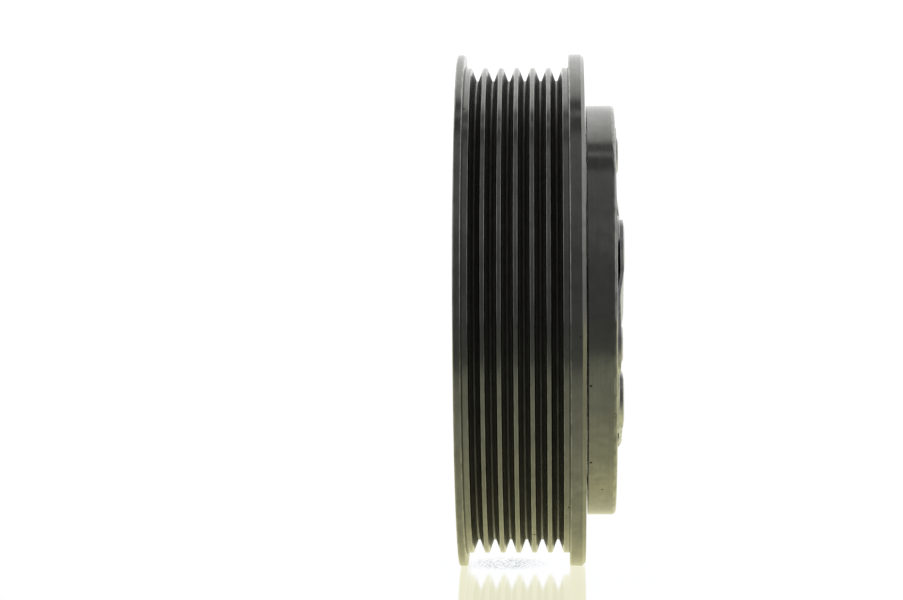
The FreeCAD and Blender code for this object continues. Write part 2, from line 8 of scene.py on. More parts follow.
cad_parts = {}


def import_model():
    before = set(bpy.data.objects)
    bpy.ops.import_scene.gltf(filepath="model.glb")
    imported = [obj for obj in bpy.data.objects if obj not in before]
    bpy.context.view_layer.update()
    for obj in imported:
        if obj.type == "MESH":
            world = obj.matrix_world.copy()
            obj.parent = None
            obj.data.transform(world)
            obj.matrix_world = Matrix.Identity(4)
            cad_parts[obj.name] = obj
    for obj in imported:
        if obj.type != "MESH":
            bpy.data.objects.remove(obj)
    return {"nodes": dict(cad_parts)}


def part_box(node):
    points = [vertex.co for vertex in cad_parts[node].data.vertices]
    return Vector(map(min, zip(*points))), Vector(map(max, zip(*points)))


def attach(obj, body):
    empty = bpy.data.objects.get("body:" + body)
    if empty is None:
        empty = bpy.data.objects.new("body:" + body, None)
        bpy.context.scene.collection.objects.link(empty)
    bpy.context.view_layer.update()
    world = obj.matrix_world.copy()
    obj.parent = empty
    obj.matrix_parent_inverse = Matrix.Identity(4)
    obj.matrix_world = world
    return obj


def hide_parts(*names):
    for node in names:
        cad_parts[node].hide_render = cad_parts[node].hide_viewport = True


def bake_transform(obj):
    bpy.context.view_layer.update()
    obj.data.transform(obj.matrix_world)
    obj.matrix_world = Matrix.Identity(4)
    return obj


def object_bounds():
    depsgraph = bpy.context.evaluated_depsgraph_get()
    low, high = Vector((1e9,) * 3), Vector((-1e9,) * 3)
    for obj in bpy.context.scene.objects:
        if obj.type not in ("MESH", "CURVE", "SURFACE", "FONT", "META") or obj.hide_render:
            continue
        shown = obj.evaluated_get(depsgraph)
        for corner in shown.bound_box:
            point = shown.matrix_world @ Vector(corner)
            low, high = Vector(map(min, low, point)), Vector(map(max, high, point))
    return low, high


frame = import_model()
cad_low, cad_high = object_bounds()

MM = 0.001
STEPS = 360                     # segments round a full turn of the large pieces
SMALL_STEPS = 96                # segments round a rivet, a pin or a small ring
CORNER_STEPS = 4                # segments in a rounded corner
SECTOR_STEPS = 6                # segments in a rounded corner of a sector
OPEN = None                     # corner radius that leaves the outline's next side open
SHARPEST_TURN = 0.3             # least cosine that an offset outline allows for
MERGE_DISTANCE = 1e-7           # vertices nearer than this become one, in metres
SHARP_ANGLE = math.radians(32)  # edges that turn more than this stay sharp

# --- sizes, in millimetres ------------------------------------------------------------
# X is the spin axis, and every radius is measured from it. Angles are in degrees from +Z
# about X.


def span(node):
    """A node's rear and front along X, in millimetres."""
    low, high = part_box(node)
    return low.x / MM, high.x / MM


def radius_of(node):
    """A round node's outer radius in millimetres."""
    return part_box(node)[1].z / MM


REAR_FACE, FRONT_FACE = span("pulley_rotor")
FLANGE_RADIUS = radius_of("pulley_rotor")
REAR_FLANGE = 1.8
FRONT_FLANGE = 3.5
FLANGE_ROUND = 0.4
RIM_CHAMFER = 0.8
CHAMFER_ROUND = 0.15
GROOVE_DEPTH = 3.0
RIB_RADIUS = FLANGE_RADIUS - 3.0
GROOVE_PITCH = 3.56
GROOVE_COUNT = 6
GROOVE_ANGLE = math.radians(40)
RIB_LAND = 0.9
RIB_ROUND = 0.22
RIB_FOOT_ROUND = 0.15           # where the end ribs meet the flanges
GROOVE_FLOOR_ROUND = 0.18
FIRST_GROOVE = REAR_FACE + 4.45
RIM_INNER = 48.5
WEB_REAR = 7.8
SLEEVE_REAR = -11.4
SLEEVE_RADIUS = 29.2
SHOULDER_RADIUS = 23.0
CIRCLIP_SEAT = 26.2
CIRCLIP_WIDTH = 1.5
INNER_SLOTS = (33.25, 35.75)
OUTER_SLOTS = (41.75, 44.25)
SIXTHS = range(0, 360, 60)
FLUX_ANGLE = 48
FLUX_CORNER = 1.2
FLUX_BREAK = 0.2
LINING = (41.5, 44.5)
LINING_FLOOR = FRONT_FACE - 1.6
LINING_ROUND = 0.1

BEARING_RADIUS = 25.0
BEARING_HALF = 10.0
BEARING_BORE = 17.5
INNER_RING_RADIUS = 19.6
OUTER_RING_BORE = 22.9
RING_ROUND = 0.35
SEAL_LIP = 19.75
SEAL_FRONT = 9.6
SEAL_THICKNESS = 1.4
SEAL_HOLLOW = 0.25              # depth of the hollow between the seal's rim and lip
SEAL_RIM_WIDTH = (0.5, 0.7)     # at the seal's face and in the hollow
SEAL_LIP_WIDTH = (0.6, 0.9)
SEAL_ROUND = 0.1
SEAL_FACE_ROUND = 0.15

COIL_REAR, COIL_FRONT = span("coil_housing")
COIL_OUTER = radius_of("coil_housing")
COIL_INNER = 29.75
COIL_WALL = 1.8
COIL_FLOOR = 2.0
COIL_CORNER = 1.5
COIL_MOUTH_ROUND = 0.25
COIL_FLOOR_ROUND = 0.4
POTTING_REAR, POTTING_FRONT = span("coil_potting")
POTTING_SINK = 0.25             # the resin's middle lies this much below its edges
POTTING_EDGE = 1.2
POTTING_ROUND = 0.6
PLATE_REAR, PLATE_FRONT = span("mounting_plate")
PLATE_RADIUS = radius_of("mounting_plate")
PLATE_BORE = 22.5
PLATE_BREAK = 0.3
WINDOW = (34.0, 41.0)
WINDOW_PLACES = (60, 180, 300)
WINDOW_ANGLE = 46
WINDOW_CORNER = 1.4
WINDOW_BREAK = 0.25
HOLE_BREAK = 0.1
PIN_CIRCLE, PIN_RADIUS, PIN_SHANK, PIN_ANGLE = 33.0, 2.5, 2.8, -130
GLAND_CIRCLE, GLAND_RADIUS, GLAND_ANGLE = 40.0, 4.0, -100
GLAND_HOLE = 1.6
GLAND_DEPTH = 2.5

HUB_ANGLE = 46
THIRDS = (0, 120, 240)
FLANGE_REAR, FLANGE_FRONT = span("hub_flange")
FLANGE_BREAK = 0.45
HUB_CORNER = 7.5
HUB_CORNER_STEPS = 24           # segments in half of a corner of the hub's flange
HUB_CIRCLE = 20.8
BOSS_REAR, BOSS_FRONT = span("hub_boss")
BOSS_RADIUS = 11.5
BOSS_NECK = 9.5
NECK_BREAK = 0.2
BOSS_BREAK = 0.35
SEAT_REAR, SEAT_FRONT = 17.2, 19.6
BOLT_HOLE = 4.1
HEAD_RECESS = 7.9
SPLINE_MINOR, SPLINE_MAJOR = 7.2, 8.0
SPLINE_WIDTH = 1.1
SPLINE_COUNT = 20
SPLINE_BREAK = 0.08
SPLINE_CORNER = 0.1             # depth of the corners at the bottom of a spline groove
SPLINE_SHOULDER, SPLINE_FLOOR = 0.92, 0.75      # shares of a groove's half width

LEAF_THICKNESS = 0.34
LEAF_GAP = 0.02
LEAF_PACK = 2 * LEAF_THICKNESS + LEAF_GAP
LEAF_HALF_WIDTH = 6.5
LEAF_SWEEP = 52
LEAF_HUB_FLAT = 12.5
LEAF_FAR_FLAT = 7.0
LEAF_COLUMNS, LEAF_ROWS = 12, 40
LEAF_END_ANGLES = range(4, 91, 7)

ARMATURE_REAR, ARMATURE_FRONT = span("armature_plate")
ARMATURE_RADIUS = 46.4
ARMATURE_BORE = 24.0
ARMATURE_WEB_FRONT = 17.3
RECESS_RADIUS = 29.5
ARMATURE_ROUND = 0.9
STUD_SEAT = 16.5                # where the armature's rivets grip the disc from behind
RIM_SEAM = 44.0                 # where the turned rim meets the slotted part
RECESS_SEAM = 30.0              # where the slotted part meets the recess
ARMATURE_SLOTS = (37.8, 40.0)
SLOT_ANGLE = 88
SLOT_CORNER = 1.08
SLOT_BREAK = 0.25
SLOT_TURN = 60                  # from a spring's far rivet to the middle of a slot
FAR_CIRCLE = 37.5
FAR_ANGLE = HUB_ANGLE + LEAF_SWEEP

# Rivets: radii, the corners of the foot and of the head's top, the height of the head's
# straight edge, and the dimple's radii at its rim and its floor.
HUB_RIVET = {"foot": 3.6, "foot_round": 0.3, "shank": 2.5, "head": 6.2, "edge": 0.1,
             "top": 4.8, "top_round": 0.5, "dimple": (2.2, 1.7)}
ARMATURE_RIVET = {"foot": 4.0, "foot_round": 0.2, "shank": 2.6, "head": 4.3, "edge": 0.12,
                  "top": 3.4, "top_round": 0.4, "dimple": (1.6, 1.2)}
HEAD_FOOT_ROUND, HEAD_EDGE_ROUND = 0.04, 0.05
DIMPLE_DEPTH = 0.2
DIMPLE_ROUND = 0.2


# --- outlines -------------------------------------------------------------------------

def place(radius, angle):
    """The (y, z) place at a radius and an angle."""
    turned = math.radians(angle)
    return Vector((-radius * math.sin(turned), radius * math.cos(turned)))


def circle(radius, centre=(0, 0), steps=STEPS):
    """A circle of (y, z) points."""
    return [Vector(centre) + place(radius, 360 * step / steps) for step in range(steps)]


def sector(inner, outer, middle, angle, corner):
    """Part of a ring as (y, z) points, with rounded corners.

    A corner is its radius, its side of the middle, and the directions of its arc's start
    and end, each as (outwards, along the ring).
    """
    points = []
    corners = ((outer, 1, (1, 0), (0, 1)), (inner, 1, (0, 1), (-1, 0)),
               (inner, -1, (-1, 0), (0, -1)), (outer, -1, (0, -1), (1, 0)))
    for number, (radius, side, start, end) in enumerate(corners):
        circle_radius = radius + (corner if radius == inner else -corner)
        half = angle / 2 - math.degrees(math.asin(corner / circle_radius))
        turned = middle + side * half
        for step in range(SECTOR_STEPS + 1):
            share = math.pi / 2 * step / SECTOR_STEPS
            radial, along = (
                corner * (math.cos(share) * first + math.sin(share) * second)
                for first, second in zip(start, end))
            points.append(place(circle_radius + radial, turned)
                          + place(along, turned + 90))
        if number in (1, 3):    # the inner and the outer arc, with a segment per degree
            count = int(2 * half)
            points += [place(radius, middle + side * half * (1 - 2 * step / count))
                       for step in range(1, count)]
    return points


def offset(outline, distance):
    """A closed (y, z) outline moved towards its inside by a distance."""
    if not distance:
        return list(outline)
    following = outline[1:] + outline[:1]
    area = sum(a.x * b.y - b.x * a.y for a, b in zip(outline, following))
    moved = []
    for before, here, after in zip(outline[-1:] + outline[:-1], outline, following):
        first, second = (here - before).normalized(), (after - here).normalized()
        along = (first + second).normalized()
        stretch = (math.copysign(distance, area * distance)
                   / max(along.dot(second), SHARPEST_TURN))
        moved.append(here + Vector((-along.y, along.x)) * stretch)
    return moved


def rounded(corners):
    """Closed outline of (x, r, kind) points whose (x, r, radius) corners become arcs.

    A point's kind is that of the side to the next point: 1 for a worn edge, 0 for a plain
    side, and OPEN for a side that is left out.
    """
    points = []
    preceding, following = corners[-1:] + corners[:-1], corners[1:] + corners[:1]
    area = sum(a[0] * b[1] - b[0] * a[1] for a, b in zip(corners, following))
    for before, (x, r, radius), after in zip(preceding, corners, following):
        here = Vector((x, r))
        if not radius:
            points.append((x, r, radius))
            continue
        back = (Vector(before[:2]) - here).normalized()
        ahead = (Vector(after[:2]) - here).normalized()
        half = back.angle(ahead) / 2
        reach = radius / math.tan(half)
        centre = here + (back + ahead).normalized() * (radius / math.sin(half))
        first = here + back * reach - centre
        turn = first.angle_signed(here + ahead * reach - centre)
        convex = 1 if turn * area < 0 else 0
        for step in range(CORNER_STEPS + 1):
            spoke = Matrix.Rotation(-turn * step / CORNER_STEPS, 2) @ first
            points.append((*(centre + spoke), convex if step < CORNER_STEPS else 0))
    return points


# --- meshes ---------------------------------------------------------------------------

class Shape:
    """Vertices in millimetres, faces, and a 1 for each face that is a worn edge."""

    def __init__(self):
        self.vertices, self.faces, self.worn = [], [], []

    def add(self, vertices, faces, worn):
        start = len(self.vertices)
        self.vertices += vertices
        self.faces += [tuple(start + index for index in face) for face in faces]
        self.worn += worn

    def band(self, rows, kinds, closed):
        """Quads between neighbouring rows of points, each row being a closed ring."""
        count = len(rows[0])
        faces, worn = [], []
        for row in range(len(rows) if closed else len(rows) - 1):
            here, there = row * count, (row + 1) % len(rows) * count
            for index in range(count):
                kind = kinds(row, index)
                if kind is not OPEN:
                    following = (index + 1) % count
                    faces.append((here + index, here + following,
                                  there + following, there + index))
                    worn.append(kind)
        self.add([point for row in rows for point in row], faces, worn)

    def turn(self, corners, centre=(0, 0), steps=STEPS):
        """Turn an outline, given by its corners, about a line along X."""
        outline = rounded(corners)
        rows = []
        for step in range(steps):
            out = place(1, 360 * step / steps)
            rows.append([(x, centre[0] + r * out.x, centre[1] + r * out.y)
                         for x, r, _ in outline])
        self.band(rows, lambda row, index: outline[index][2], closed=True)

    def wall(self, outline, rear, front, rear_break=0.0, front_break=0.0, hole=False):
        """Wall along a (y, z) outline, with rounded rims.

        Gives the outlines that are left for the flat faces at the rear and the front.
        """
        inward = -1 if hole else 1
        levels = []
        for end, edge_break, side in ((rear, rear_break, 1), (front, front_break, -1)):
            turns = range(CORNER_STEPS + 1) if edge_break else (CORNER_STEPS,)
            angles = [math.pi / 2 * turn / CORNER_STEPS for turn in turns]
            stack = [(edge_break * (1 - math.sin(angle)),
                      end + side * edge_break * (1 - math.cos(angle)))
                     for angle in angles]
            levels.append(stack if side > 0 else stack[::-1])
        plain = len(levels[0]) - 1
        rows = [[(x, *point) for point in offset(outline, inward * inset)]
                for inset, x in levels[0] + levels[1]]
        self.band(rows, lambda row, index: 0 if row == plain else 1, closed=False)
        return offset(outline, inward * rear_break), offset(outline, inward * front_break)

    def flat(self, outlines, x):
        """Level face inside the first (y, z) outline, with the others as holes."""
        triangles = tessellate_polygon([[point.to_3d() for point in outline]
                                        for outline in outlines])
        self.add([(x, *point) for outline in outlines for point in outline],
                 [tuple(triangle) for triangle in triangles], [0] * len(triangles))

    def plate(self, outlines, rear, front, breaks):
        """Extrude outlines along X: the first is the edge, and the rest are holes."""
        ends = [self.wall(outline, rear, front, edge_break, edge_break, hole=number > 0)
                for number, (outline, edge_break) in enumerate(zip(outlines, breaks))]
        self.flat([end[0] for end in ends], rear)
        self.flat([end[1] for end in ends], front)


def new_piece(name, shape, body, node, slot):
    """A mesh object in metres that stands for a CAD node and rides on its body."""
    mesh = bpy.data.meshes.new(name)
    mesh.from_pydata([tuple(c * MM for c in v) for v in shape.vertices], [], shape.faces)
    mesh.attributes.new("worn", "FLOAT", "FACE").data.foreach_set(
        "value", [float(worn) for worn in shape.worn])
    work = bmesh.new()
    work.from_mesh(mesh)
    bmesh.ops.remove_doubles(work, verts=work.verts, dist=MERGE_DISTANCE)
    bmesh.ops.recalc_face_normals(work, faces=work.faces)
    work.to_mesh(mesh)
    work.free()
    mesh.shade_smooth()
    mesh.set_sharp_from_angle(angle=SHARP_ANGLE)
    mesh.materials.append(FINISHES[slot])
    piece = bpy.data.objects.new(name, mesh)
    bpy.context.scene.collection.objects.link(piece)
    normals = piece.modifiers.new("Normals", "WEIGHTED_NORMAL")
    normals.keep_sharp = True
    if body:
        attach(piece, body)
    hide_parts(node)
    return piece


# --- materials ------------------------------------------------------------------------

# Noise patterns, in features per millimetre along each axis.
CLOUDS = (0.09,) * 3
SOFT_CLOUDS = (0.12,) * 3
MOTTLE = (0.45,) * 3
STREAKS = (1.6, 0.07, 0.07)
GRAIN = (7.0,) * 3
RUBBED_PATCHES = (0.8, 0.35, 0.35)
DUST_PATCHES = (2.2, 0.25, 0.25)
# Pits and flecks: cells per millimetre, and size as a share of a cell.
PIT_CELLS, PIT_SIZE = 0.4, 0.15
PIT_DEPTH = 0.02                # millimetres
PIT_CORE = 0.6                  # share of a pit that is fully dark
FLECK_CELLS, FLECK_SHARE, FLECK_SIZE = 1.1, 0.12, 0.34
# Dust in the belt grooves, in millimetres: how far it reaches past their sides and under
# their floors, how far below the ribs it ends, and the length over which it fades.
DUST_SIDE = 0.15
DUST_UNDER_FLOOR = 0.6
DUST_UNDER_RIBS = 0.7
DUST_FADE = 0.3
# Painted shade in the corners where the end ribs meet the flanges: where it fades,
# radially and along X, in millimetres.
SEAM_TOP = (0.2, 0.6)
SEAM_WIDTH = (0.1, 0.2)
SEAM_PAINTED_SHADE = 0.9
# Brightness against the base colour.
WORN_METAL, WORN_COATING, PIT_DARKNESS = 1.35, 2.2, 0.2
# Roughness that pits, dust and the painted seam shade add, and that rubbing takes away.
PIT_ROUGHER, DUST_AND_SHADE_ROUGHER, RUBBED_SMOOTHER = 0.3, 0.2, 0.06
COAT_ROUGHNESS = 0.12


def shaded(color, factor):
    """A colour with its brightness changed."""
    return tuple(c * factor for c in color[:3]) + (1.0,)


class Finish:
    """Builds the node tree of one material."""

    def __init__(self, name):
        self.material = bpy.data.materials.new(name)
        self.material.use_nodes = True
        self.nodes = self.material.node_tree.nodes
        self.links = self.material.node_tree.links
        self.shader = self.nodes["Principled BSDF"]
        coordinates = self.nodes.new("ShaderNodeTexCoord")
        self.position = self.scaled(coordinates.outputs["Object"], (1 / MM,) * 3)

    def node(self, kind, inputs=(), **settings):
        """A new node. Each input is a number, a colour or another node's output."""
        made = self.nodes.new("ShaderNode" + kind)
        for key, value in settings.items():
            setattr(made, key, value)
        for key, value in dict(inputs).items():
            self.set(made.inputs[key], value)
        return made

    def set(self, socket, value):
        """Link another node's output to a socket, or give the socket a fixed value."""
        if isinstance(value, bpy.types.NodeSocket):
            self.links.new(value, socket)
        else:
            socket.default_value = value

    def math(self, operation, first, second=0.0, clamp=False):
        """The output of a Math node."""
        return self.node("Math", {0: first, 1: second},
                         operation=operation, use_clamp=clamp).outputs[0]

    def scaled(self, vector, factors):
        """A vector with a factor for each axis."""
        return self.node("VectorMath", {0: vector, 1: factors},
                         operation="MULTIPLY").outputs[0]

    def noise(self, factors, detail=3.0, roughness=0.55):
        """Noise with this many features per millimetre along each axis."""
        vector = self.scaled(self.position, factors)
        return self.node("TexNoise", {"Vector": vector, "Scale": 1.0, "Detail": detail,
                                      "Roughness": roughness}).outputs[0]

    def between(self, value, low, high, first=0.0, second=1.0):
        """A value taken from low..high to first..second, clamped."""
        return self.node("MapRange", {0: value, 1: low, 2: high, 3: first, 4: second},
                         clamp=True).outputs[0]

    def mix(self, share, first, second):
        """One colour mixed into another."""
        return self.node("Mix", {0: share, 6: first, 7: second},
                         data_type="RGBA").outputs[2]

    def radius(self):
        """Distance from the spin axis."""
        across = self.scaled(self.position, (0.0, 1.0, 1.0))
        return self.node("VectorMath", {0: across}, operation="LENGTH").outputs["Value"]

    def groove_limits(self):
        """Values that all pass their limits only where a belt groove is."""
        along, radius = self.along(), self.radius()
        return ((along, REAR_FACE + REAR_FLANGE - DUST_SIDE),
                (self.math("MULTIPLY", along, -1.0),
                 FRONT_FLANGE - FRONT_FACE - DUST_SIDE),
                (radius, RIB_RADIUS - GROOVE_DEPTH - DUST_UNDER_FLOOR),
                (self.math("MULTIPLY", radius, -1.0), DUST_UNDER_RIBS - RIB_RADIUS))

    def painted_seam_shade(self):
        """1 in the corners where the end ribs meet the flanges, where shade is painted."""
        low, high = SEAM_TOP
        near = self.between(self.radius(), RIB_RADIUS + low, RIB_RADIUS + high, 1.0, 0.0)
        total = 0.0
        for x in (REAR_FACE + REAR_FLANGE, FRONT_FACE - FRONT_FLANGE):
            gap = self.math("ABSOLUTE", self.math("SUBTRACT", self.along(), x))
            total = self.math("ADD", total,
                              self.between(gap, *SEAM_WIDTH, SEAM_PAINTED_SHADE, 0.0))
        return self.math("MULTIPLY", near, total)

    def along(self):
        """Distance along the spin axis."""
        return self.node("SeparateXYZ", {0: self.position}).outputs[0]

    def turning(self, lines):
        """Lines left round X by a lathe tool, this many per millimetre."""
        return self.node("TexNoise", {"W": self.math("ADD", self.along(), self.radius()),
                                      "Scale": lines, "Detail": 3.0, "Roughness": 0.7},
                         noise_dimensions="1D").outputs[0]

    def pits(self, density, share, size):
        """1 in round pits, scattered over a share of the cells."""
        cells = self.node("TexVoronoi", {"Vector": self.position, "Scale": density})
        value = self.node("SeparateColor", {0: cells.outputs["Color"]}).outputs[0]
        chosen = self.math("GREATER_THAN", value, 1 - share)
        near = self.between(cells.outputs["Distance"], size * PIT_CORE, size, 1.0, 0.0)
        return self.math("MULTIPLY", chosen, near)

    def bump(self, heights):
        """Bumps from (height, depth in millimetres) pairs, one after the other."""
        normal = None
        for height, depth in heights:
            made = self.node("Bump", {"Height": height, "Strength": 1.0,
                                      "Distance": depth * MM})
            if normal:
                self.links.new(normal, made.inputs["Normal"])
            normal = made.outputs[0]
        self.links.new(normal, self.shader.inputs["Normal"])


def metal(name, color, roughness, lines=0.0, line_depth=0.0012, stain=0.2,
          pit_share=0.0, grain_depth=0.0008, dust_and_seam_shade=False):
    """Bare metal: stains, rubbed edges, and maybe lathe lines, pits, groove dust and
    painted seam shade.
    """
    finish = Finish(name)
    cloud = finish.noise(CLOUDS, detail=5.0)
    mottle = finish.noise(MOTTLE, detail=5.0)
    streak = finish.noise(STREAKS, detail=4.0)
    grain = finish.noise(GRAIN, detail=2.0)
    base = finish.mix(finish.between(cloud, 0.38, 0.68), shaded(color, 1 - stain),
                      shaded(color, 1 + stain / 2))
    base = finish.mix(finish.between(mottle, 0.46, 0.66, 0.0, 0.6), base,
                      shaded(color, 1 - stain * 1.6))
    base = finish.mix(finish.between(streak, 0.45, 0.75, 0.0, 0.5), base,
                      shaded(color, 1 - stain * 1.4))
    rough = finish.math(
        "ADD", finish.between(cloud, 0.3, 0.7, -0.05, 0.06),
        finish.between(streak, 0.3, 0.8, roughness - 0.02, roughness + 0.07))
    heights = [(grain, grain_depth)]
    if lines:
        line = finish.turning(lines)
        base = finish.mix(finish.between(line, 0.3, 0.75, 0.0, 0.3), base,
                          shaded(color, 1 + stain))
        heights.append((line, line_depth))
    if pit_share:
        pit = finish.pits(PIT_CELLS, pit_share, PIT_SIZE)
        base = finish.mix(pit, base, shaded(color, PIT_DARKNESS))
        rough = finish.math("ADD", rough, finish.math("MULTIPLY", pit, PIT_ROUGHER))
        heights.append((finish.math("SUBTRACT", 1.0, pit), PIT_DEPTH))
    worn = finish.node("Attribute", attribute_name="worn").outputs["Fac"]
    broken = finish.between(finish.noise(RUBBED_PATCHES, detail=4.0), 0.36, 0.6)
    rub = finish.math("MULTIPLY", worn, broken, clamp=True)
    base = finish.mix(rub, base, shaded(color, WORN_METAL))
    rough = finish.math("SUBTRACT", rough, finish.math("MULTIPLY", rub, RUBBED_SMOOTHER),
                        clamp=True)
    finish.shader.inputs["Metallic"].default_value = 1.0
    if dust_and_seam_shade:
        dust_and_shade = finish.between(finish.noise(DUST_PATCHES), 0.35, 0.65, 0.65, 0.92)
        for value, limit in finish.groove_limits():
            dust_and_shade = finish.math("MULTIPLY", dust_and_shade,
                               finish.between(value, limit, limit + DUST_FADE))
        # Painted shade: the corners where the end ribs meet the flanges get the dust's
        # dark colour.
        dust_and_shade = finish.math("MAXIMUM", dust_and_shade, finish.painted_seam_shade())
        base = finish.mix(dust_and_shade, base, DUST_AND_SHADE)
        rough = finish.math("ADD", rough, finish.math("MULTIPLY", dust_and_shade, DUST_AND_SHADE_ROUGHER),
                            clamp=True)
        finish.set(finish.shader.inputs["Metallic"],
                   finish.math("SUBTRACT", 1.0, dust_and_shade, clamp=True))
    finish.set(finish.shader.inputs["Base Color"], base)
    finish.set(finish.shader.inputs["Roughness"], rough)
    finish.bump(heights)
    return finish.material


def moulded(name, color, roughness, grain, depth, fleck=None, coat=0.0):
    """Plastic, rubber, resin, paint or lining: grain, rubbed edges and maybe flecks."""
    finish = Finish(name)
    cloud = finish.noise(SOFT_CLOUDS, detail=5.0)
    fine = finish.noise((grain,) * 3)
    base = finish.mix(finish.between(cloud, 0.35, 0.7), shaded(color, 0.8),
                      shaded(color, 1.25))
    base = finish.mix(finish.between(fine, 0.5, 0.8, 0.0, 0.4), base, shaded(color, 1.7))
    if fleck:
        flecks = finish.pits(FLECK_CELLS, FLECK_SHARE, FLECK_SIZE)
        base = finish.mix(flecks, base, (*fleck, 1.0))
    worn = finish.node("Attribute", attribute_name="worn").outputs["Fac"]
    rub = finish.math("MULTIPLY", worn, finish.between(cloud, 0.35, 0.65, 0.0, 0.5))
    base = finish.mix(rub, base, shaded(color, WORN_COATING))
    finish.set(finish.shader.inputs["Base Color"], base)
    finish.set(finish.shader.inputs["Roughness"],
               finish.between(fine, 0.2, 0.8, roughness - 0.06, roughness + 0.08))
    finish.shader.inputs["Coat Weight"].default_value = coat
    finish.shader.inputs["Coat Roughness"].default_value = COAT_ROUGHNESS
    finish.bump([(fine, depth), (cloud, depth)])
    return finish.material


# Dark colour of the groove dust, also used for the shade painted into the corners beside
# the flanges.
DUST_AND_SHADE = (0.045, 0.044, 0.04, 1.0)
DARK_STEEL = (0.29, 0.29, 0.27)
FINISHES = {
    # The rotor gets groove dust, plus painted shade in the corners beside its flanges.
    "rotor_steel": metal("rotor_steel", DARK_STEEL, 0.14, lines=2.6, pit_share=0.03,
                         dust_and_seam_shade=True),
    "armature_steel": metal("armature_steel", DARK_STEEL, 0.12, lines=2.2,
                            pit_share=0.12, line_depth=0.0010),
    "hub_steel": metal("hub_steel", (0.42, 0.42, 0.40), 0.34, grain_depth=0.003),
    "rivet_steel": metal("rivet_steel", (0.58, 0.58, 0.55), 0.34, grain_depth=0.002),
    "spring_steel": metal("spring_steel", (0.52, 0.53, 0.53), 0.36, stain=0.12,
                          grain_depth=0.001),
    "plated_steel": metal("plated_steel", (0.56, 0.55, 0.50), 0.34, stain=0.12,
                          grain_depth=0.003),
    "bearing_steel": metal("bearing_steel", (0.62, 0.62, 0.61), 0.12, lines=4.0,
                           line_depth=0.0004, stain=0.06, grain_depth=0.0002),
    "copper": metal("copper", (0.62, 0.27, 0.13), 0.3, lines=1.6, line_depth=0.08),
    "coil_steel": moulded("coil_steel", (0.022, 0.022, 0.022), 0.42,
                          grain=2.4, depth=0.012, coat=0.3),
    "bobbin_plastic": moulded("bobbin_plastic", (0.05, 0.05, 0.05), 0.5,
                              grain=4.0, depth=0.006),
    "cage_plastic": moulded("cage_plastic", (0.42, 0.37, 0.26), 0.45,
                            grain=4.0, depth=0.004),
    "potting_resin": moulded("potting_resin", (0.02, 0.026, 0.02), 0.22,
                             grain=0.5, depth=0.02, coat=0.5),
    "seal_rubber": moulded("seal_rubber", (0.018, 0.018, 0.018), 0.62,
                           grain=5.0, depth=0.006),
    "friction_lining": moulded("friction_lining", (0.085, 0.07, 0.055), 0.78,
                               grain=2.2, depth=0.03, fleck=(0.36, 0.27, 0.14)),
}


# --- pulley ---------------------------------------------------------------------------

def rim_corners():
    """Corners of the grooved rim, down to the web's outer edge."""
    half_opening = (GROOVE_PITCH - RIB_LAND) / 2
    half_floor = half_opening - GROOVE_DEPTH * math.tan(GROOVE_ANGLE / 2)
    floor = RIB_RADIUS - GROOVE_DEPTH
    inside_rear = REAR_FACE + REAR_FLANGE
    inside_front = FRONT_FACE - FRONT_FLANGE
    corners = [
        (REAR_FACE, FLANGE_RADIUS, FLANGE_ROUND),
        (inside_rear, FLANGE_RADIUS, FLANGE_ROUND),
        (inside_rear, RIB_RADIUS, RIB_FOOT_ROUND),
    ]
    for number in range(GROOVE_COUNT):
        middle = FIRST_GROOVE + number * GROOVE_PITCH
        corners += [
            (middle - half_opening, RIB_RADIUS, RIB_ROUND),
            (middle - half_floor, floor, GROOVE_FLOOR_ROUND),
            (middle + half_floor, floor, GROOVE_FLOOR_ROUND),
            (middle + half_opening, RIB_RADIUS, RIB_ROUND),
        ]
    return corners + [
        (inside_front, RIB_RADIUS, RIB_FOOT_ROUND),
        (inside_front, FLANGE_RADIUS, FLANGE_ROUND),
        (FRONT_FACE - RIM_CHAMFER, FLANGE_RADIUS, CHAMFER_ROUND),
        (FRONT_FACE, FLANGE_RADIUS - RIM_CHAMFER, CHAMFER_ROUND),
        (FRONT_FACE, RIM_INNER, OPEN),
        (WEB_REAR, RIM_INNER, 0),
        (REAR_FACE, RIM_INNER, 0.3),
    ]


